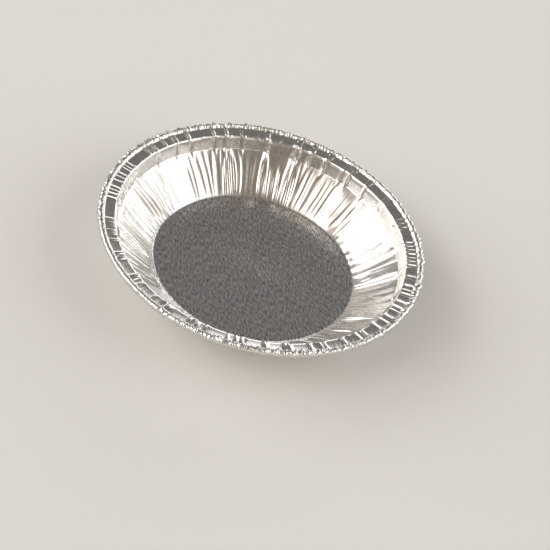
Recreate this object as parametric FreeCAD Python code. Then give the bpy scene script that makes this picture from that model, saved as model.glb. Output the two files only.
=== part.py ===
import FreeCAD, Part
import math
import os

# Shallow round pie tin pressed from one sheet of thin foil, in millimetres.
# The origin is the middle of the underside, on the table, with +Z up.

# driving dimensions
foil = 0.08                     # thickness of the sheet
rim_diameter = 127.0            # over the outside of the rolled edge
overall_height = 20.6           # table to the top of the rolled edge
roll_diameter = 2.2             # outside of the hollow rolled edge
roll_opening = 45.0             # degrees left open between the free edge and the lip
roll_flats = 10                 # short straight stretches that make the round of the roll
lip_diameter = 114.0            # where the flat lip turns down into the shoulder
lip_rise = 0.6                  # the lip climbs this much on its way out to the roll
lip_bend = 0.5                  # radius of the bend from the shoulder to the lip
bend_flats = 2                  # short straight stretches that make that bend
shoulder_height = 6.1           # steep plain band under the lip
shoulder_diameter = 111.5       # at the foot of that band
ledge_width = 0.3               # flat left between the pleats and the shoulder
base_diameter = 80.0            # where the pleated wall meets the flat base
pleats = 120                    # folds round the wall
pleat_depth_top = 0.8           # how far a fold reaches in and out at the top
pleat_depth_base = 0.3          # the same at the bottom corner
pleat_unevenness = 0.5          # share by which neighbouring folds differ
panel_rise = 0.15               # how far the middle panel of the base is raised
panel_slope_width = 1.2         # width of the faint step round the panel
resting_ring_width = 3.8        # flat ring between that step and the wall, which carries the tin

# sizes that follow from them
rim_radius = rim_diameter / 2
roll_radius = roll_diameter / 2
roll_centre_radius = rim_radius - roll_radius
roll_centre_height = overall_height - roll_radius
lip_radius = lip_diameter / 2
lip_height = roll_centre_height - lip_rise
shoulder_radius = shoulder_diameter / 2
ledge_height = lip_height - shoulder_height
fold_outer_top = shoulder_radius - ledge_width
fold_inner_base = base_diameter / 2
fold_outer_base = fold_inner_base + pleat_depth_base
panel_diameter = base_diameter - 2 * (resting_ring_width + panel_slope_width)
panel_radius = panel_diameter / 2
folds = 2 * pleats

# slopes of the straight stretches of the section, measured from level
wall_slope = math.atan2(ledge_height, fold_outer_top - fold_outer_base)
shoulder_slope = math.atan2(shoulder_height, lip_radius - shoulder_radius)
lip_slope = math.atan2(lip_rise, roll_centre_radius - roll_radius - lip_radius)
panel_slope = math.atan2(panel_rise, panel_slope_width)

axis_point = FreeCAD.Vector(0, 0, 0)
axis = FreeCAD.Vector(0, 0, 1)


def section_point(radius, height):
    return FreeCAD.Vector(radius, 0, height)


def along(start, slope, distance):
    return start + section_point(math.cos(slope), math.sin(slope)) * distance


def above(start, slope, distance):
    # a step square to a line of this slope, to its upper side
    return start + section_point(-math.sin(slope), math.cos(slope)) * distance


def round_stretch(centre, radius, start_angle, end_angle, flats):
    # points on a circle: the short flats between them leave it by less than half the foil
    turn = (end_angle - start_angle) / flats
    return [along(centre, start_angle + turn * number, radius) for number in range(flats + 1)]


def circle(radius, height):
    return Part.Wire(Part.makeCircle(radius, FreeCAD.Vector(0, 0, height)))


def ring_face(outline, opening):
    return Part.makeFace([outline, opening], "Part::FaceMakerBullseye")


def unevenness(number):
    # a repeating but uneven share between 1 - pleat_unevenness and 1
    golden = (math.sqrt(5) - 1) / 2
    return 1 - pleat_unevenness * ((number * golden) % 1)


def fold_points(outermost, depth, height, shift):
    # corners of the folded line: every second one lies further in
    points = []
    for number in range(folds):
        angle = 2 * math.pi * number / folds
        reach = depth * unevenness(number) if number % 2 else 0
        radius = outermost - reach - shift
        points.append(FreeCAD.Vector(radius * math.cos(angle), radius * math.sin(angle), height))
    return points


def closed_line(points):
    return Part.makePolygon(points + [points[0]])


def flat_triangle(first, second, third):
    return Part.Face(Part.makePolygon([first, second, third, first]))


def base_faces(lift, foot):
    # the raised middle, the step round it and the ring the tin rests on
    shift = lift * math.tan(panel_slope / 2)
    top = section_point(panel_radius + shift, panel_rise + lift)
    bottom = section_point(panel_radius + panel_slope_width + shift, lift)
    panel = Part.Face(circle(top.x, top.z))
    step = Part.makeLine(top, bottom).revolve(axis_point, axis, 360)
    resting_ring = ring_face(closed_line(foot), circle(bottom.x, bottom.z))
    return [panel, step, resting_ring]


def wall_faces(foot, head):
    # each fold has two flat flanks, each of them split in two triangles
    faces = []
    for number in range(folds):
        after = (number + 1) % folds
        if number % 2:
            faces.append(flat_triangle(foot[number], head[number], head[after]))
            faces.append(flat_triangle(foot[number], head[after], foot[after]))
        else:
            faces.append(flat_triangle(foot[number], head[number], foot[after]))
            faces.append(flat_triangle(head[number], head[after], foot[after]))
    return faces


def rim_section(lift):
    # corners from the ledge up the shoulder, over the bend and lip and round the roll
    corner = section_point(shoulder_radius - lift * math.tan(shoulder_slope / 2), ledge_height + lift)
    lip_corner = section_point(lip_radius, lip_height)
    tangent = lip_bend * math.tan((shoulder_slope - lip_slope) / 2)
    bend_centre = above(along(lip_corner, lip_slope, tangent), lip_slope, -lip_bend)
    quarter_turn = math.pi / 2
    bend_angles = (shoulder_slope + quarter_turn, lip_slope + quarter_turn)
    bend = round_stretch(bend_centre, lip_bend + lift, *bend_angles, bend_flats)
    roll_centre = section_point(roll_centre_radius, roll_centre_height)
    # the side facing up on the lip is the outside of the roll
    radius = roll_radius - foil + lift
    to_centre = roll_centre - bend[-1]
    run = to_centre.x * math.cos(lip_slope) + to_centre.z * math.sin(lip_slope)
    rise = to_centre.z * math.cos(lip_slope) - to_centre.x * math.sin(lip_slope)
    roll_start = along(bend[-1], lip_slope, run - math.sqrt(radius ** 2 - rise ** 2))
    start_angle = math.atan2(roll_start.z - roll_centre.z, roll_start.x - roll_centre.x) % (2 * math.pi)
    end_angle = math.radians(roll_opening) - math.pi
    roll = round_stretch(roll_centre, radius, start_angle, end_angle, roll_flats)
    return [corner] + bend + roll


def side_faces(lift):
    # one whole side of the sheet, this far above the underside, and where its section ends
    shift = lift * math.tan(wall_slope / 2)
    foot = fold_points(fold_outer_base, pleat_depth_base, lift, shift)
    head = fold_points(fold_outer_top, pleat_depth_top, ledge_height + lift, shift)
    rim = rim_section(lift)
    faces = base_faces(lift, foot) + wall_faces(foot, head)
    faces.append(ring_face(circle(rim[0].x, rim[0].z), closed_line(head)))
    faces.append(Part.makePolygon(rim).revolve(axis_point, axis, 360))
    return faces, rim[-1]


underside, lower_edge = side_faces(0)
inside, upper_edge = side_faces(foil)
free_edge = Part.makeLine(lower_edge, upper_edge).revolve(axis_point, axis, 360)

sheet = Part.Compound(underside + inside + [free_edge])
sheet.sewShape()
tin = Part.Solid(sheet.Shells[0])
if tin.Volume < 0:
    tin.reverse()

os.makedirs("parts", exist_ok=True)
tin.exportStep("parts/pie_tin.step")
print("valid:", tin.isValid(), " closed:", tin.Shells[0].isClosed(), " shells:", len(sheet.Shells))
print("volume in cubic millimetres:", round(tin.Volume, 1))
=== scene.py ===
# %% [markdown]
# # A foil pie tin
# The real thing is one disc of thin aluminium foil, pressed between two dies in a single stroke. The flat
# middle stays smooth, the sloping wall gathers into wrinkles because it has more foil than room, and the
# edge is curled over into a small hollow roll that stiffens it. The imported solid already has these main
# forms with even pleats. This lesson models the same sheet again with its uneven wrinkles, its creased lip
# and its crimped roll, and then gives it the look of rolled foil.

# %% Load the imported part
import bpy
import math
import numpy as np
from mathutils import Matrix, Vector


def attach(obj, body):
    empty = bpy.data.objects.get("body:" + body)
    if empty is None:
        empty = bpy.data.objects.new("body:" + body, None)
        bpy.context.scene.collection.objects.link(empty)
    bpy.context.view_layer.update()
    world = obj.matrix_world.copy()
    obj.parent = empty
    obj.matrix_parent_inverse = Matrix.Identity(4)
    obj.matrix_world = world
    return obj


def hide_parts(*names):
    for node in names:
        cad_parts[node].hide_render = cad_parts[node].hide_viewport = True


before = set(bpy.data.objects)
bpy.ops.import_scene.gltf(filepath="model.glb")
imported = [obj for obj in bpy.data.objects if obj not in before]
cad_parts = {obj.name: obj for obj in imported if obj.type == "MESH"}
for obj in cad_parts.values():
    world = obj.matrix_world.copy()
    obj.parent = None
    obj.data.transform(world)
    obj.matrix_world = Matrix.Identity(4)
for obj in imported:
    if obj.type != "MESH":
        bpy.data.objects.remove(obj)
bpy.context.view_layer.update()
bpy.ops.object.select_all(action="DESELECT")

# %% [markdown]
# ## The section of the tin
# A pressed tin is round, so half of its section says nearly everything. The section is kept as a list of
# rings: each has a radius and a height in millimetres, from the middle of the base out to the free edge of
# the roll. It is the underside of the foil, and the foil's thickness is added later. More rings are spent
# where the sheet bends, and few where it is straight. The middle of the base is a panel raised by a hair,
# so the tin rests on the ring round it. The step is lower here than in the solid, 0.06 mm against 0.15 mm:
# a steeper one would mirror the bright wall as a crescent, and the real base shows no more than a faint
# line.

# %% Rings of the base and the wall
MM = 0.001
foil = 0.08
panel_radius = 34.9
panel_rise = 0.06
panel_step_width = 1.4
base_radius = 40.1
wall_top_radius = 55.6
wall_top_height = 13.1

rings = []


def add_ring(part, radius, height, share=0.0):
    rings.append((part, radius, height, share))


add_ring("step", panel_radius - 0.6, panel_rise)
add_ring("step", panel_radius, panel_rise)
add_ring("step", panel_radius + panel_step_width, 0.0)
for inside_wall in (0.8, 0.2):
    add_ring("base", base_radius - inside_wall, 0.0)
for share in (0.015, 0.05, 0.10, 0.17, 0.25, 0.34, 0.43, 0.52, 0.61, 0.70, 0.79, 0.88, 0.95, 0.985, 1.0):
    radius = base_radius + share * (wall_top_radius - base_radius)
    add_ring("wall", radius, share * wall_top_height, share)
print("rings up to the top of the wall:", len(rings))

# %% [markdown]
# Above the wall stands the shoulder, a steep plain band that leans out by one millimetre. It bends over
# into the lip, which climbs a little on its way out, so that the rim is stiff. There the sheet is curled
# down and under into a hollow roll of 2.2 mm, which hides the sharp edge. The roll stays open a little at
# its end.

# %% Rings of the shoulder, the lip and the roll
shoulder_foot_radius = 55.75
shoulder_foot_height = 13.4
shoulder_lean = 1.05
shoulder_height = 4.8
roll_radius = 1.1
roll_centre = (62.4, 19.5)
roll_start, roll_end, roll_rings = 178, -135, 8

for share in (0.0, 0.06, 0.35, 0.7, 1.0):
    height = shoulder_foot_height + shoulder_height * share
    add_ring("shoulder", shoulder_foot_radius + shoulder_lean * share, height, share)
bend_and_lip = (("bend", 57.02, 18.72), ("bend", 57.4, 18.9), ("lip", 57.9, 19.0), ("lip", 60.9, 19.36))
for part, radius, height in bend_and_lip:
    add_ring(part, radius, height)
for angle in np.linspace(roll_start, roll_end, roll_rings):
    across = (roll_radius - foil) * math.cos(math.radians(angle))
    up = (roll_radius - foil) * math.sin(math.radians(angle))
    add_ring("roll", roll_centre[0] + across, roll_centre[1] + up, angle)
print("rings in all:", len(rings))

# %% [markdown]
# ## Building the sheet
# A spun profile would do, but a ring that is extruded, scaled and lifted again and again is how such a dish
# is made by hand: each new ring is selected after the one before. 1340 points round the tin put nearly four
# in each degree, which is fine enough for a crease 0.6 mm wide.

# %% Extrude the rings from a circle
points_round = 1340
first = rings[0]
bpy.ops.mesh.primitive_circle_add(vertices=points_round, radius=first[1] * MM, location=(0, 0, first[2] * MM))
tin = bpy.context.object
tin.name = "pressed_tin"
bpy.ops.object.transform_apply(location=True, rotation=False, scale=False)
bpy.ops.object.mode_set(mode="EDIT")
bpy.ops.mesh.select_mode(type="EDGE")
bpy.ops.mesh.select_all(action="SELECT")
for before, ring in zip(rings[:-1], rings[1:]):
    lift = (ring[2] - before[2]) * MM
    grow = ring[1] / before[1]
    bpy.ops.mesh.extrude_region_move(TRANSFORM_OT_translate={"value": (0, 0, lift)})
    bpy.ops.transform.resize(value=(grow, grow, 1))
bpy.ops.object.mode_set(mode="OBJECT")
print("points in the sheet:", len(tin.data.vertices))

# %% [markdown]
# The middle is still open. Its edge is the innermost ring, so the edges on that radius are picked and
# filled with one flat face. The normals are then turned to the upper side, where the pie would lie.

# %% Close the flat middle
for edge in tin.data.edges:
    ends = [tin.data.vertices[i].co for i in edge.vertices]
    edge.select = all(end.to_2d().length < (first[1] + 0.1) * MM for end in ends)
bpy.ops.object.mode_set(mode="EDIT")
bpy.ops.mesh.edge_face_add()
bpy.ops.mesh.select_all(action="SELECT")
bpy.ops.mesh.normals_make_consistent(inside=False)
bpy.ops.object.mode_set(mode="OBJECT")
panel = max(tin.data.polygons, key=lambda face: len(face.vertices))
if panel.normal.z < 0:
    bpy.ops.object.mode_set(mode="EDIT")
    bpy.ops.mesh.flip_normals()
    bpy.ops.object.mode_set(mode="OBJECT")
print("the middle face looks up:", tin.data.polygons[panel.index].normal.z > 0)

# %% [markdown]
# ## Wrinkles
# Foil can't shrink, so when the disc is pushed into the die the spare length goes into wrinkles. Each one
# is a narrow rounded ridge that runs up the wall. Sculpting hundreds of them by hand would take days, so
# they are written as a list of ridges, each with a place round the tin in degrees, a height and a width,
# and the points of the sheet are moved along the surface normal by the sum of them. The random numbers come
# from one seed, so the tin is the same each time.

# %% Helpers for ridges
rng = np.random.default_rng(41)
angles = np.arange(points_round) * 360 / points_round


def ridges(places, heights, widths, tails=1.0):
    # a tail stretches one flank of a ridge: the one towards larger angles, or the other if it is below zero
    gap = (angles[:, None] - np.asarray(places)[None, :] + 180) % 360 - 180
    gap = gap / (np.asarray(widths) * np.where(gap * tails > 0, np.abs(tails), 1.0))
    return (np.asarray(heights) * np.exp(-0.5 * gap ** 2)).sum(axis=1)


def ease(value, low, high):
    # a soft step from 0 to 1
    share = np.clip((value - low) / (high - low), 0, 1)
    return share * share * (3 - 2 * share)


def wander(count, size):
    # a slow uneven wave round the tin, never larger than size
    waves = np.zeros(points_round)
    for turns in range(2, count):
        waves += rng.normal() / turns * np.cos(np.radians(turns * angles) + rng.uniform(0, 6.28))
    return size * waves / np.abs(waves).max()


print("points in a degree:", round(points_round / 360, 2))

# %% [markdown]
# The main pleats cross the steep shoulder as single sharp lines and split into a fan of creases on the wall
# below, like an upside-down Y. Each is a place in degrees and a strength, judged one by one. The degrees run
# counter-clockwise as seen from above: 0 is at the right, 90 at the back, 180 at the left and 270 in front.

# %% Main pleats
main_pleats = [
    (6.5, 0.7), (20.5, 0.9), (31, 0.8), (43, 0.8), (53.5, 1.0), (62.8, 1.2), (66.0, 0.8), (74.6, 1.5),
    (81.6, 1.4), (87.0, 1.2), (89.0, 1.5), (100.7, 1.6), (111.4, 0.6), (117.1, 1.1), (118.9, 1.2),
    (123.4, 0.6), (134.2, 0.7), (142.0, 0.6), (152.4, 0.9), (167.2, 1.0), (169.3, 0.5), (171.2, 0.6),
    (173.8, 0.5), (176.3, 0.6), (178.5, 0.8), (181.2, 0.5), (183.6, 0.5), (186.0, 0.9), (203.5, 0.9),
    (210.8, 0.8),
    (218.0, 1.0), (220.3, 1.0), (230.0, 1.0), (244.5, 0.8), (257.0, 1.0), (262.5, 0.7), (276.0, 1.1),
    (290.5, 0.9), (301.5, 1.0), (315.0, 0.8), (327.5, 1.1), (335.5, 0.8), (341.0, 0.9), (351.5, 0.6),
]
pleat_places = np.array([place for place, strength in main_pleats])
pleat_strengths = np.array([strength for place, strength in main_pleats])
print("main pleats:", len(main_pleats))

# %% [markdown]
# The wrinkles of the wall are curved: many bow out and come together again, so a bundle looks like a lens.
# Each is written as its place in degrees at the top, half way down and at the foot of the wall, its height
# in millimetres, its width in degrees, and the share of the wall's height at which it starts. A height
# below zero is a groove. The far wall and both side walls face the camera, so their wrinkles are placed one
# by one. The ones laid over lean like a wave: steep on one side and three times as wide on the other.

# %% Wrinkles placed one by one
creases = [
    (133.0, 131.8, 131.4, 0.24, 0.60, 1.0), (129.2, 128.5, 128.0, 0.20, 0.55, 1.0),
    (125.2, 126.3, 126.9, 0.24, 0.60, 1.0), (121.6, 122.4, 123.4, 0.24, 0.60, 1.0),
    (119.2, 121.3, 122.0, 0.26, 0.42, 1.0), (118.9, 120.1, 120.6, 0.18, 0.32, 1.0),
    (118.4, 119.0, 119.4, 0.20, 0.32, 1.0), (117.8, 117.9, 117.9, 0.20, 0.32, 1.0),
    (117.3, 116.8, 116.8, 0.18, 0.32, 1.0), (117.0, 115.5, 115.7, 0.22, 0.32, 1.0),
    (116.6, 114.2, 114.7, 0.28, 0.42, 1.0), (114.0, 111.9, 113.0, 0.30, 0.60, 1.0),
    (109.3, 109.2, 109.3, 0.16, 0.70, 0.92), (105.6, 105.8, 106.2, 0.18, 0.60, 0.85),
    (100.9, 101.9, 101.3, 0.34, 0.40, 1.0), (100.6, 100.6, 100.2, 0.26, 0.32, 1.0),
    (100.3, 99.7, 99.3, 0.26, 0.32, 1.0), (100.0, 98.6, 97.7, 0.34, 0.38, 1.0),
    (97.8, 96.3, 95.0, 0.28, 0.40, 0.75), (96.0, 95.0, 93.8, 0.26, 0.35, 0.60),
    (93.6, 92.5, 91.5, 0.38, 0.42, 0.74), (92.4, 91.2, 89.9, 0.26, 0.40, 0.50),
    (88.5, 89.3, 88.8, 0.46, 0.48, 1.0), (87.8, 86.5, 85.0, 0.36, 0.34, 1.0),
    (87.2, 85.4, 83.7, 0.40, 0.34, 1.0), (86.2, 84.2, 82.4, 0.42, 0.36, 1.0),
    (88.4, 87.6, 87.0, 0.36, 0.50, 0.66), (84.2, 82.9, 81.6, 0.36, 0.40, 0.98),
    (31.0, 28.4, 25.6, 0.24, 0.50, 0.9), (30.0, 27.4, 24.6, -0.24, 0.40, 0.85),
    (24.2, 23.7, 23.4, -0.44, 0.90, 1.0), (26.2, 26.0, 25.8, 0.20, 1.00, 0.9),
    (51.6, 51.2, 50.0, -0.50, 0.55, 0.9), (45.8, 46.0, 46.2, -0.40, 0.60, 0.25),
    (48.6, 48.2, 48.0, -0.36, 0.45, 0.6), (41.4, 41.2, 41.0, -0.36, 0.40, 0.6),
    (33.6, 33.2, 33.0, -0.50, 0.60, 0.26), (7.2, 7.0, 6.8, -0.34, 0.50, 1.0),
    (4.6, 4.6, 4.8, -0.30, 0.45, 1.0), (21.2, 21.0, 20.6, 0.24, 0.80, 1.0),
    (19.4, 18.8, 17.4, -0.36, 0.60, 1.0),
    (154.2, 155.4, 156.6, -0.34, 0.45, 1.0), (158.0, 158.4, 159.0, -0.30, 0.45, 0.75),
    (163.0, 161.8, 162.3, -0.42, 0.55, 1.0), (165.2, 164.0, 165.4, 0.34, 0.55, 1.0),
    (137.4, 137.0, 138.3, -0.24, 0.35, 1.0), (139.6, 139.3, 139.9, -0.22, 0.35, 0.70),
    (188.0, 189.0, 190.0, -0.30, 0.45, 0.9), (191.0, 191.6, 192.2, -0.16, 0.50, 0.85),
    (168.0, 165.7, 166.0, 0.38, 0.38, 1.0), (168.8, 167.0, 167.3, -0.35, 0.34, 1.0),
    (169.6, 168.2, 168.8, 0.42, 0.38, 1.0), (170.6, 169.5, 170.4, -0.32, 0.34, 0.9),
    (171.6, 170.8, 172.2, 0.42, 0.40, 1.0), (172.8, 172.2, 174.0, -0.35, 0.34, 1.0),
    (174.2, 173.8, 175.6, 0.38, 0.40, 0.9), (175.4, 175.4, 176.8, 0.35, 0.34, 1.0),
    (176.8, 177.2, 178.0, -0.38, 0.36, 1.0), (178.0, 179.0, 179.6, 0.38, 0.38, 0.9),
    (179.2, 180.8, 181.2, -0.32, 0.34, 1.0), (180.6, 182.6, 183.0, 0.42, 0.40, 1.0),
    (181.8, 184.4, 185.0, -0.35, 0.36, 1.0), (183.2, 186.4, 187.2, 0.38, 0.40, 1.0),
    (185.0, 188.0, 189.0, 0.32, 0.36, 0.9), (150.0, 150.6, 151.2, -0.22, 0.50, 0.9),
    (145.0, 145.6, 146.2, -0.18, 0.50, 0.8), (139.5, 139.2, 139.0, -0.12, 0.45, 0.95),
]
laid_over = [
    (81.8, 81.6, 81.9, 0.24, 0.34, 1.0), (79.1, 79.0, 79.1, 0.26, 0.36, 1.0),
    (77.4, 77.2, 77.1, 0.14, 0.28, 1.0), (75.5, 75.4, 75.4, 0.34, 0.38, 1.0),
    (71.1, 71.0, 71.3, 0.24, 0.34, 0.95), (69.0, 68.7, 68.4, 0.20, 0.32, 1.0),
    (66.6, 66.3, 65.7, 0.26, 0.34, 1.0), (61.3, 60.9, 60.1, 0.12, 0.50, 1.0),
    (59.3, 59.0, 58.6, 0.46, 0.80, 1.0), (55.7, 55.6, 55.5, 0.46, 0.80, 0.95),
]
print("wrinkles placed by hand:", len(creases) + len(laid_over))

# %% [markdown]
# Round the rest of the wall the wrinkles come in zones. Some are fine and close, some wide and few. Each
# zone has its first and last degree, the spacing of its wrinkles, their usual height, width, lean and bow.
# The main pleats of the front wall get a fan of four creases each.

# %% Wrinkles of the zones
zones = [
    (5, 17, 3.0, 0.10, 0.70, -0.6, 0.8), (31, 51, 3.6, 0.09, 0.90, -0.5, 0.5),
    (136, 154, 4.0, 0.06, 0.90, 0.3, 0.5), (193, 200, 3.6, 0.06, 0.90, 0.5, 0.4),
    (196, 224, 1.9, 0.34, 0.44, 4.0, 0.3),
    (219, 262, 2.6, 0.18, 0.60, 1.5, 0.8), (262, 300, 2.1, 0.18, 0.45, -0.4, 0.8),
    (300, 339, 1.9, 0.30, 0.42, -1.6, 0.9), (339, 356, 4.5, 0.06, 0.90, 0.2, 0.6),
    (356, 365, 2.6, 0.09, 0.60, -0.4, 0.6),
]
for begin, end, spacing, height, width, lean, bow in zones:
    for place in np.arange(begin + spacing / 2, end, spacing):
        start = 1.0 if rng.uniform() < 0.7 else rng.uniform(0.6, 0.9)
        top = place - lean / 2 + rng.normal() * spacing * 0.16
        foot = top + lean + rng.normal() * 0.5
        middle = (top + foot) / 2 + rng.normal() * bow
        creases.append((
            top, middle, foot, height * rng.uniform(0.5, 1.5), width * rng.uniform(0.8, 1.25), start))
front_first, front_last = 262, 338
fan = (-2.6, -1.0, 0.9, 2.4)
for place, strength in main_pleats:
    if front_first < place < front_last:
        for spread in fan:
            reach = spread * rng.uniform(0.7, 1.25)
            creases.append((
                place, place + reach * 0.8, place + reach, strength * rng.uniform(0.10, 0.20),
                rng.uniform(0.32, 0.46), 1.0))
laid_over_tail = 3.0
tail = np.array([1.0] * len(creases) + [laid_over_tail] * len(laid_over))
creases = creases + laid_over
crease_top, crease_middle, crease_foot, crease_height, crease_width, crease_start = np.array(creases).T
crease_wobble = rng.uniform(0.0, 0.14, len(creases))
crease_beat = rng.uniform(0.8, 2.0, len(creases))
crease_phase = rng.uniform(0, 1, len(creases))
print("creases in all:", len(creases))

# %% [markdown]
# Between the wrinkles the sheet is not quite even either. Shallow round dents, a millimetre or two wide,
# give the soft patches of light and shade. Nine more are placed one by one on the bright right side, where
# such marks show. Each has its place in degrees, its share of the wall's height, its height in millimetres,
# which is below zero for a hollow, its width in degrees and its length as a share of the wall's height.

# %% Dents
dent_count = 260
dent_place = rng.uniform(0, 360, dent_count)
dent_share = rng.uniform(0.1, 0.95, dent_count)
dent_depth = rng.normal(0, 0.055, dent_count)
dent_width = rng.uniform(0.6, 1.8, dent_count)
dent_length = rng.uniform(0.05, 0.14, dent_count)
pressed = [
    (12.8, 0.22, -0.30, 0.8, 0.07), (8.8, 0.28, -0.24, 0.7, 0.06), (28.2, 0.15, -0.34, 0.7, 0.07),
    (33.6, 0.20, -0.26, 0.8, 0.06), (45.8, 0.15, -0.34, 0.7, 0.06), (48.0, 0.60, -0.26, 0.5, 0.06),
    (37.0, 0.40, -0.22, 0.9, 0.08), (52.0, 0.30, -0.26, 0.7, 0.08), (-5.2, 0.40, 0.30, 0.7, 0.06),
]
dent_place, dent_share, dent_depth, dent_width, dent_length = [
    np.append(random_part, placed)
    for random_part, placed in zip(
        (dent_place, dent_share, dent_depth, dent_width, dent_length), np.array(pressed).T)]
print("dents:", len(dent_place))

# %% [markdown]
# All of this comes together in one function. For a share of the wall's height it draws each wrinkle's place
# on a curve through its three places, lets it weave a little, and fades it out above its start. At the very
# foot of the wall the wrinkles fade too, because the corner of the base is pressed sharp.

# %% Shape of the wall at one height


def wall_wrinkles(share):
    below = 1 - share
    places = crease_foot * below * (1 - 2 * share) + crease_middle * 4 * share * below
    places = places + crease_top * share * (2 * share - 1)
    places = places + crease_wobble * np.sin(6.28 * (share * crease_beat + crease_phase))
    heights = crease_height * (1 - ease(share, crease_start - 0.12, crease_start + 0.02))
    heights = heights * ease(share, 0.0, 0.24)
    dents = dent_depth * np.exp(-0.5 * ((share - dent_share) / dent_length) ** 2) * ease(share, 0.0, 0.2)
    return ridges(places, heights, crease_width, tail) + ridges(dent_place, dents, dent_width)


print("highest wrinkle half way up, mm:", round(float(wall_wrinkles(0.5).max()), 2))

# %% [markdown]
# The lip is pinched flat by the press, so its spare foil stands up in thin creases with smooth foil between
# them. They come in loose groups. Most are even on both sides. At the right and the left they have been
# folded over, so one flank is two or three times as wide as the other, and its number at the end says to
# which side.

# %% Creases on the lip
lip_list = [
    (135.7, 0.45, 0.50), (129.6, 0.16, 0.50), (124.4, 0.45, 0.50), (118.7, 0.45, 0.50), (112.3, 0.40, 0.36),
    (110.9, 0.24, 0.36), (105.2, 0.26, 0.45), (101.0, 0.45, 0.60), (95.3, 0.30, 0.40), (89.0, 0.48, 0.62),
    (87.3, 0.42, 0.45), (82.0, 0.50, 0.75), (80.8, 0.26, 0.30), (74.7, 0.48, 0.75), (73.2, 0.26, 0.30),
    (66.0, 0.26, 0.36), (64.4, 0.40, 0.40), (63.0, 0.42, 0.36), (61.8, 0.32, 0.32), (54.4, 0.36, 0.36),
    (53.2, 0.36, 0.32), (43.6, 0.36, 0.32), (42.0, 0.38, 0.42), (40.8, 0.26, 0.32), (34.0, 0.20, 0.80),
    (141.6, 0.34, 0.45), (143.2, 0.30, 0.36), (147.3, 0.38, 0.40),
    (152.7, 0.42, 0.42), (154.5, 0.34, 0.36), (156.5, 0.42, 0.42), (162.0, 0.14, 0.80), (200.4, 0.42, 0.40),
    (202.2, 0.44, 0.38), (203.9, 0.42, 0.38), (206.4, 0.40, 0.38), (208.0, 0.40, 0.38), (211.2, 0.36, 0.36),
    (217.9, 0.46, 0.42), (220.4, 0.46, 0.45), (229.4, 0.44, 0.40), (230.8, 0.44, 0.40), (234.0, 0.36, 0.40),
]
lip_folds = [
    (31.3, 0.36, 0.30, 2.0), (28.9, 0.36, 0.26, 2.2), (26.6, 0.36, 0.30, 2.4), (24.0, 0.17, 0.30, 2.4),
    (18.2, 0.36, 0.32, 2.4), (16.2, 0.36, 0.32, 2.4), (14.3, 0.36, 0.32, 2.4), (11.8, 0.36, 0.40, 2.4),
    (9.9, 0.36, 0.36, 2.4), (8.0, 0.36, 0.30, 2.4), (5.6, 0.36, 0.36, 2.4), (-0.9, 0.32, 0.36, 3.4),
    (-6.2, 0.32, 0.36, 3.2), (-8.2, 0.23, 0.30, 2.4), (-10.8, 0.32, 0.36, 2.6), (-15.8, 0.32, 0.34, 2.8),
    (-19.0, 0.32, 0.34, 2.6), (-21.0, 0.23, 0.30, 2.4), (-25.6, 0.27, 0.36, 2.6), (-28.4, 0.23, 0.30, 2.2),
    (-33.0, 0.27, 0.34, 2.6), (168.2, 0.26, 0.28, -2.0), (170.0, 0.24, 0.26, -1.8),
    (171.6, 0.28, 0.28, -2.0), (175.0, 0.28, 0.30, -2.2), (176.8, 0.22, 0.26, -1.8),
    (179.6, 0.26, 0.30, -2.4), (183.0, 0.28, 0.30, -2.0), (184.8, 0.24, 0.28, -1.8),
    (187.0, 0.30, 0.30, -2.2), (189.2, 0.26, 0.30, -2.0),
]
for place in (241, 247, 248.5, 256, 259, 262, 270, 273, 275, 283, 290, 291.5, 299, 303, 304.5, 312, 318, 321):
    lip_list.append((place, rng.uniform(0.24, 0.50), rng.uniform(0.32, 0.56)))
lip_creases = ridges(*np.array(lip_list).T) + ridges(*np.array(lip_folds).T)
print("creases on the lip:", len(lip_list) + len(lip_folds))

# %% [markdown]
# The roll is crimped as it is curled, which leaves a row of small uneven nubs. Some stand straight and some
# lie aslant. Wider knots lie among them about every three degrees, where two folds of foil came together.
# They are highest at the right. One stretch near the front left is nearly smooth.

# %% Nubs and knots on the roll
nub_count = 280
nub_places = (np.arange(nub_count) + rng.uniform(-0.3, 0.3, nub_count)) * 360 / nub_count
nub_heights = 0.12 + 0.46 * rng.uniform(0, 1, nub_count) ** 1.6
nub_heights *= np.where((nub_places > 205) & (nub_places < 245), 0.25, 1.0)
nub_widths = rng.uniform(0.20, 0.36, nub_count)
nub_slant = rng.uniform(-1.2, 1.2, nub_count)
knot_count = 120
knot_places = (np.arange(knot_count) + rng.uniform(-0.35, 0.35, knot_count)) * 360 / knot_count
at_right = (knot_places < 60) | (knot_places > 320)
knot_heights = np.where(at_right, 0.34, 0.14) * rng.uniform(0.3, 1.2, knot_count)
knot_heights *= np.where((knot_places > 200) & (knot_places < 245), 0.3, 1.0)
print("nubs:", nub_count, " knots:", knot_count)

# %% [markdown]
# Every ring now gets its own share of these patterns. A slow wander of a few tenths of a millimetre is
# added to the wall, the shoulder and the lip, because a sheet this thin is never truly round or flat. Two
# stretches of the wall, at the right and the low left, were pressed harder and stay calmer. Between two
# pleats the steep shoulder is pulled nearly flat, so it lies a little inside its circle and catches the
# light as one facet.

# %% Wander of the sheet and facets of the shoulder
slow_wall = wander(26, 0.22)
slow_shoulder = wander(16, 0.12)
slow_rim = wander(7, 0.16)
fine_wall = wander(90, 0.10)
calm = 1 - ridges([212, 42], [0.4, 0.3], [14, 12])


def panels_between(places, radius):
    ordered = np.sort(places)
    after = np.searchsorted(ordered, angles) % len(ordered)
    ahead = (ordered[after] - angles) % 360
    behind = (angles - ordered[after - 1]) % 360
    half = np.radians(ahead + behind) / 2
    middle = np.radians(behind) - half
    tilt = rng.normal(0, 0.02, len(ordered))[after]
    return radius * (1 - np.cos(half) / np.cos(middle)), tilt * middle * radius


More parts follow.
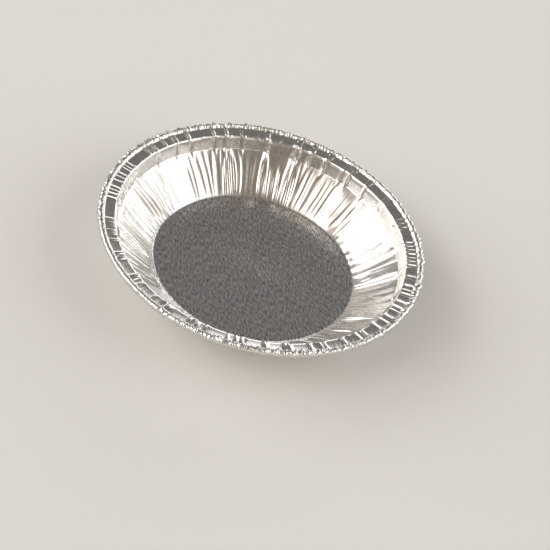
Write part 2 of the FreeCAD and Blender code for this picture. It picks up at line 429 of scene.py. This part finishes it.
flat_panels, panel_tilts = panels_between(pleat_places, shoulder_foot_radius)
print("deepest facet of the shoulder, mm:", round(float(flat_panels.max()), 2))

# %% [markdown]
# A shift is measured in millimetres, square to the section, towards the side where the pie lies. The wall
# holds still at the corner of the base, and near its top the pleats gather into single lines. On the
# shoulder each pleat zigzags a little from ring to ring. The lip shows its own creases, which fade into the
# bend and into the start of the roll. On the roll the nubs are highest on top and at the outside.

# %% Shift of every ring
pleat_width = 0.42
gathered_height, gathered_from = 0.55, 0.84
shoulder_pleat_foot, shoulder_pleat_drop = 0.64, 0.34
wall_inset = 0.1
knot_slant, knot_width = 1.3, 0.55
section = np.array([(ring[1], ring[2]) for ring in rings])
direction = np.gradient(section, axis=0)
direction /= np.linalg.norm(direction, axis=1)[:, None]
upper_side = np.stack([-direction[:, 1], direction[:, 0]], axis=1)


def wall_shift(share):
    hold = ease(share, 0.0, 0.15) * (1 - 0.6 * share)
    gathered_heights = pleat_strengths * gathered_height * ease(share, gathered_from, 1.0)
    gathered = ridges(pleat_places, gathered_heights, pleat_width)
    return wall_wrinkles(share) + gathered + ((slow_wall + fine_wall) * calm - wall_inset) * hold


def shoulder_shift(share):
    usual_height = shoulder_pleat_foot - shoulder_pleat_drop * share
    heights = rng.uniform(0.8, 1.25, len(pleat_places)) * pleat_strengths * usual_height
    zigzag = rng.uniform(-0.5, 0.5, len(pleat_places))
    pleats = ridges(pleat_places + zigzag, heights, 0.34 + 0.10 * pleat_strengths)
    return pleats + slow_shoulder * 0.5 + flat_panels * 0.2 + panel_tilts


def roll_shift(angle):
    # from -1 to 1 over the top half of the roll, so that a slanted nub crosses its own place on top
    around = (angle - 90) / 90
    nubs = ridges(nub_places + nub_slant * around, nub_heights, nub_widths)
    nubs = nubs + ridges(knot_places + knot_slant * around, knot_heights, knot_width)
    nubs = nubs * (0.35 + 0.65 * ease(angle, -120, 20)) * (1 - ease(angle, 164, 180))
    return nubs + lip_creases * 0.7 * ease(angle, 110, 178)


def ring_shift(part, share):
    if part == "wall":
        return wall_shift(share)
    if part == "shoulder":
        return shoulder_shift(share)
    if part == "bend":
        return ridges(pleat_places, pleat_strengths * 0.21, pleat_width) + lip_creases * 0.6
    if part == "lip":
        return lip_creases * 1.3
    if part == "roll":
        return roll_shift(share)
    return np.zeros(points_round)


shifts = np.array([ring_shift(ring[0], ring[3]) for ring in rings])
lifts = np.array([slow_rim * ease(ring[1], 56.5, 60.5) for ring in rings])
print("largest shift, mm:", round(float(np.abs(shifts).max()), 2))

# %% [markdown]
# The extruded points come in no order that can be relied on. So each one looks up its place round the tin
# from its angle and its ring from the nearest place on the section, and then takes the shift of that ring
# and place.

# %% Write the points back
flat = np.empty(len(tin.data.vertices) * 3)
tin.data.vertices.foreach_get("co", flat)
points = flat.reshape(-1, 3) / MM
radius = np.hypot(points[:, 0], points[:, 1])
turn = np.degrees(np.arctan2(points[:, 1], points[:, 0])) % 360
column = np.rint(turn * points_round / 360).astype(int) % points_round
row = np.argmin(np.hypot(radius[:, None] - section[:, 0], points[:, 2][:, None] - section[:, 1]), axis=1)
moved_radius = radius + shifts[row, column] * upper_side[row, 0]
moved_height = points[:, 2] + shifts[row, column] * upper_side[row, 1] + lifts[row, column]
points[:, 0] *= moved_radius / radius
points[:, 1] *= moved_radius / radius
points[:, 2] = moved_height
tin.data.vertices.foreach_set("co", (points * MM).ravel())
tin.data.update()
print("lowest point, mm:", round(float(points[:, 2].min()), 3))

# %% [markdown]
# ## The thickness of the foil
# Such tins are pressed from sheet of 0.06 to 0.09 mm. Solidify adds that thickness on the upper side, so
# the inside of the tin and the outside of the roll grow by it. The shading is smooth: foil has no flats.

# %% Thicken and smooth
thicken = tin.modifiers.new("foil_thickness", "SOLIDIFY")
thicken.thickness = foil * MM
thicken.offset = 1
bpy.ops.object.modifier_apply(modifier=thicken.name)
bpy.ops.object.shade_smooth()
triangles = sum(len(face.vertices) - 2 for face in tin.data.polygons)
print("triangles in the tin:", triangles)

# %% [markdown]
# ## Helpers for materials
# Colours are written as the hex values that a paint program shows. Blender calculates with linear light, so
# one function turns them. A second small function adds a node, sets it up and connects it.

# %% Colour and node helpers
def linear_colour(hex_code):
    shares = [int(hex_code[i:i + 2], 16) / 255 for i in (1, 3, 5)]
    return [c / 12.92 if c <= 0.04045 else ((c + 0.055) / 1.055) ** 2.4 for c in shares] + [1.0]


def add_node(tree, kind, links=None, **settings):
    node = tree.nodes.new(kind)
    for name, value in settings.items():
        setattr(node, name, value)
    for socket, value in (links or {}).items():
        if isinstance(value, bpy.types.NodeSocket):
            tree.links.new(value, node.inputs[socket])
        else:
            node.inputs[socket].default_value = value
    return node


def new_material(name):
    material = bpy.data.materials.new(name)
    material.use_nodes = True
    tree = material.node_tree
    return material, tree, tree.nodes["Principled BSDF"]


print("mid grey #808080 in linear light:", round(linear_colour("#808080")[0], 3))

# %% [markdown]
# ## Rolled aluminium foil
# Foil is cold rolled to its thickness. The steel rolls leave fine parallel lines all along the sheet. They
# show as short streaks, about half a millimetre wide and two long, and give the flat base a satin look. The
# wrinkled wall is stretched and bright, so they are faint there. The lines run straight across the whole
# tin, because they were there before it was pressed, so they are drawn from the object's own coordinates.

# %% Foil material: where the parts of the tin lie
wall_from, wall_to = 39.8 * MM, 40.8 * MM
roll_from, roll_to = 60.9 * MM, 61.5 * MM
foil_material, tree, shader = new_material("rolled_aluminium_foil")
place = add_node(tree, "ShaderNodeTexCoord")
position = add_node(tree, "ShaderNodeSeparateXYZ", {"Vector": place.outputs["Object"]})
flat_direction = add_node(tree, "ShaderNodeCombineXYZ", {
    "X": position.outputs["X"], "Y": position.outputs["Y"]})
from_axis = add_node(tree, "ShaderNodeVectorMath", {
    0: flat_direction.outputs["Vector"]}, operation="LENGTH")
on_wall = add_node(tree, "ShaderNodeMapRange", {
    "Value": from_axis.outputs["Value"], "From Min": wall_from, "From Max": wall_to})
on_roll = add_node(tree, "ShaderNodeMapRange", {
    "Value": from_axis.outputs["Value"], "From Min": roll_from, "From Max": roll_to})
print("nodes that tell base, wall and roll apart:", len(tree.nodes))

# %% Foil material: rolling lines
line_width, line_length, line_turn = 0.50 * MM, 2.2 * MM, math.radians(27)
line_place = add_node(tree, "ShaderNodeMapping", {
    "Vector": place.outputs["Object"],
    "Rotation": (0, 0, line_turn),
    "Scale": (line_width, line_length, line_length),
}, vector_type="TEXTURE")
line_noise = add_node(tree, "ShaderNodeTexNoise", {
    "Vector": line_place.outputs["Vector"], "Scale": 1.0, "Detail": 1.0, "Roughness": 0.6})
line_depth = add_node(tree, "ShaderNodeMapRange", {
    "Value": on_wall.outputs["Result"], "To Min": 1.0, "To Max": 0.15})
lines = add_node(tree, "ShaderNodeBump", {
    "Height": line_noise.outputs["Fac"], "Strength": line_depth.outputs["Result"], "Distance": 0.05 * MM})
print("rolling lines, mm wide:", round(line_width / MM, 2))

# %% [markdown]
# Two more fine forms come from the pressing. The wall has faint streaks that run up it, where the foil slid
# over the die. The roll has tiny crimps across it, which break its shine into sparks.

# %% Foil material: streaks of the wall and crimps of the roll
streaks_per_radian = 90.0
crimps_per_radian, crimps_per_metre = 62.0, 300.0
round_direction = add_node(tree, "ShaderNodeVectorMath", {
    0: flat_direction.outputs["Vector"]}, operation="NORMALIZE")
streak_place = add_node(tree, "ShaderNodeVectorMath", {
    0: round_direction.outputs["Vector"], "Scale": streaks_per_radian}, operation="SCALE")
streak_noise = add_node(tree, "ShaderNodeTexNoise", {
    "Vector": streak_place.outputs["Vector"], "Scale": 1.0, "Detail": 2.0})
streaks = add_node(tree, "ShaderNodeBump", {
    "Height": streak_noise.outputs["Fac"], "Normal": lines.outputs["Normal"],
    "Strength": 0.35, "Distance": 0.1 * MM})

comb_place = add_node(tree, "ShaderNodeVectorMath", {
    0: round_direction.outputs["Vector"], "Scale": crimps_per_radian}, operation="SCALE")
around_roll = add_node(tree, "ShaderNodeVectorMath", {
    0: place.outputs["Object"], 1: [crimps_per_metre] * 3, 2: comb_place.outputs["Vector"]},
    operation="MULTIPLY_ADD")
crimp_noise = add_node(tree, "ShaderNodeTexNoise", {
    "Vector": around_roll.outputs["Vector"], "Scale": 1.0, "Detail": 1.0})
crimps = add_node(tree, "ShaderNodeBump", {
    "Height": crimp_noise.outputs["Fac"], "Normal": streaks.outputs["Normal"],
    "Strength": on_roll.outputs["Result"], "Distance": 0.6 * MM})
print("streaks round the whole tin, about:", round(streaks_per_radian * 2 * math.pi))

# %% [markdown]
# The colour is that of bare aluminium, a very light grey with a trace of warmth. Along the rolling lines it
# goes from a little darker to white. That is painted sheen and shade, mostly on the base. The lines are real
# and stand in the bump above. The darker grey stands in for the dim room that the base mirrors, and the white
# for the sheen along the lines. The shine is soft but clear: the base shows no sharp picture of the room,
# only its brightness.

# %% Foil material: shine, colour and painted sheen of the base
roughness = add_node(tree, "ShaderNodeMapRange", {
    "Value": on_wall.outputs["Result"], "To Min": 0.19, "To Max": 0.20})
# painted sheen and shade: along the rolling lines the colour runs from a darker grey to white
painted_sheen_and_shade_share = add_node(tree, "ShaderNodeMapRange", {
    "Value": line_noise.outputs["Fac"], "From Min": 0.37, "From Max": 0.61})
# the painted sheen and shade goes on in full on the base, and a fifth of it on the wall
painted_sheen_and_shade_amount = add_node(tree, "ShaderNodeMapRange", {
    "Value": on_wall.outputs["Result"], "To Min": 1.0, "To Max": 0.2})
painted_sheen_and_shade_colour = add_node(tree, "ShaderNodeMix", {
    0: painted_sheen_and_shade_share.outputs["Result"], 6: linear_colour("#BCB8B8"), 7: linear_colour("#FFFFFF")},
    data_type="RGBA")
foil_and_painted_sheen_colour = add_node(tree, "ShaderNodeMix", {
    0: painted_sheen_and_shade_amount.outputs["Result"], 6: linear_colour("#E9E6E1"),
    7: painted_sheen_and_shade_colour.outputs[2]}, data_type="RGBA")
tree.links.new(foil_and_painted_sheen_colour.outputs[2], shader.inputs["Base Color"])
tree.links.new(crimps.outputs["Normal"], shader.inputs["Normal"])
tree.links.new(roughness.outputs["Result"], shader.inputs["Roughness"])
shader.inputs["Metallic"].default_value = 1.0
tin.data.materials.clear()
tin.data.materials.append(foil_material)

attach(tin, "root")
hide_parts("pie_tin")
print("material nodes:", len(tree.nodes))

# %% [markdown]
# ## The studio
# The tin stands on a sheet of matt pale paper, 3.4 metres wide. Real studio paper has no sheen to speak of,
# so it doesn't glare when it is seen at a low angle.

# %% Floor
floor_size = 3.4
bpy.ops.mesh.primitive_plane_add(size=floor_size, location=(0, 0, 0))
floor = bpy.context.object
floor.name = "floor"
floor_material, _, floor_shader = new_material("matt_pale_paper")
floor_shader.inputs["Base Color"].default_value = linear_colour("#F0EEEA")
floor_shader.inputs["Roughness"].default_value = 0.9
floor_shader.inputs["Specular IOR Level"].default_value = 0.0
floor.data.materials.append(floor_material)
print("floor, m:", floor_size)

# %% [markdown]
# ## The light
# Foil is a mirror, so most of its look is what it reflects. A long soft box at the left whitens the right
# wall, and a large one at the right whitens the left wall. A small card high at the front left and a low
# one at the back put the bright edges on the folds of the lip. The two boxes and the low card stand well
# past the edge of the paper, as a photographer would place them: any closer, and the paper in front of them
# would turn white. The brightness is that of the lamp's face, whatever its size, since that is what the
# foil mirrors.

# %% Soft boxes


def soft_box(name, location, width, height, brightness):
    light = bpy.data.lights.new(name, "AREA")
    light.shape = "RECTANGLE"
    light.size = width
    light.size_y = height
    light.energy = brightness * math.pi * width * height
    holder = bpy.data.objects.new(name, light)
    bpy.context.collection.objects.link(holder)
    holder.location = location
    holder.rotation_euler = (-Vector(location)).to_track_quat("-Z", "Y").to_euler()
    print(name, "stands", round(Vector(location).length, 2), "m away")


soft_box("left_box", (-3.24, -0.42, 1.53), 5.04, 2.64, 2.4)
soft_box("right_box", (2.64, 0.48, 1.488), 2.64, 2.76, 1.4)
soft_box("left_front_card", (-0.74, -0.60, 1.05), 0.62, 0.46, 1.3)
soft_box("back_card", (0.525, 2.41, 0.567), 2.31, 0.966, 1.7)

# %% [markdown]
# The rest of the room is quiet and darker, which keeps the flat base and the lip dark. Its front half goes
# from a pale and cream stretch at the left to plain greys at the right: the far wall of the tin mirrors
# that half, so its wrinkles are drawn in white, cream and taupe. The back half is an even grey, which the
# base mirrors. Low down the room is grey too, and white at the right, where it fills in the left wall
# between the lamps.

# %% Front half of the room, from left to right
world = bpy.data.worlds.new("studio_room")
bpy.context.scene.world = world
world.use_nodes = True
room = world.node_tree
look = add_node(room, "ShaderNodeTexCoord")
heading = add_node(room, "ShaderNodeSeparateXYZ", {"Vector": look.outputs["Generated"]})
across = add_node(room, "ShaderNodeMapRange", {
    "Value": heading.outputs["X"], "From Min": -1.0, "From Max": 1.0})
front = add_node(room, "ShaderNodeValToRGB", {"Fac": across.outputs["Result"]})
front_tones = (
    (0.14, "#A39E99"), (0.23, "#F4ECE4"), (0.41, "#E2D1BF"), (0.46, "#968A7F"), (0.60, "#827970"),
    (0.74, "#A9A098"), (0.88, "#CFC8C1"))
for share, tone in front_tones[2:]:
    front.color_ramp.elements.new(share)
for stop, (share, tone) in zip(front.color_ramp.elements, front_tones):
    stop.position = share
    stop.color = linear_colour(tone)
print("tones in the front half:", len(front_tones))

# %% Back half of the room, and its lower part
to_front = add_node(room, "ShaderNodeMapRange", {
    "Value": heading.outputs["Y"], "From Min": 0.25, "From Max": -0.25})
upper = add_node(room, "ShaderNodeMix", {
    0: to_front.outputs["Result"], 6: linear_colour("#787573"), 7: front.outputs["Color"]}, data_type="RGBA")
low = add_node(room, "ShaderNodeMapRange", {
    "Value": heading.outputs["Z"], "From Min": 0.24, "From Max": 0.50, "To Min": 1.0, "To Max": 0.0})
to_right = add_node(room, "ShaderNodeMapRange", {
    "Value": heading.outputs["X"], "From Min": 0.3, "From Max": 0.6})
horizon = add_node(room, "ShaderNodeMix", {
    0: to_right.outputs["Result"], 6: linear_colour("#9A9692"), 7: linear_colour("#FFFEFA")},
    data_type="RGBA")
shade = add_node(room, "ShaderNodeMix", {
    0: low.outputs["Result"], 6: upper.outputs[2], 7: horizon.outputs[2]}, data_type="RGBA")
print("nodes in the room:", len(room.nodes))

# %% [markdown]
# The camera itself sees a plain pale backdrop instead of the room. It lights nothing and the foil doesn't
# mirror it: it only closes the picture above the far edge of the paper when the view is low.

# %% Backdrop
ray = add_node(room, "ShaderNodeLightPath")
backdrop = add_node(room, "ShaderNodeMix", {
    0: ray.outputs["Is Camera Ray"], 6: shade.outputs[2], 7: linear_colour("#E2DDD6")}, data_type="RGBA")
room.links.new(backdrop.outputs[2], room.nodes["Background"].inputs["Color"])
bpy.context.scene.view_settings.view_transform = "Standard"
print("view transform:", bpy.context.scene.view_settings.view_transform)

# %% [markdown]
# ## The camera
# It looks down at about 43 degrees, turned a little about its own axis so that the tin leans to the right
# in the picture. Its place is in metres, and two directions say where the right and the top of the picture
# point to.

# %% Camera
camera_data = bpy.data.cameras.new("camera")
camera_data.sensor_width = 36
camera_data.lens = 75.6
camera_place = (0.0092, -0.3338, 0.3115)
camera = bpy.data.objects.new("camera", camera_data)
bpy.context.collection.objects.link(camera)
picture_right = Vector((0.9521, 0.2091, 0.2230))
picture_up = Vector((-0.3057, 0.6513, 0.6945))
back = picture_right.cross(picture_up).normalized()
picture_up = back.cross(picture_right).normalized()
turn_matrix = Matrix((picture_right.normalized(), picture_up, back)).transposed().to_4x4()
camera.matrix_world = Matrix.Translation(camera_place) @ turn_matrix
bpy.context.scene.camera = camera
print("camera looks down by, degrees:", round(math.degrees(math.asin(back.z)), 1))
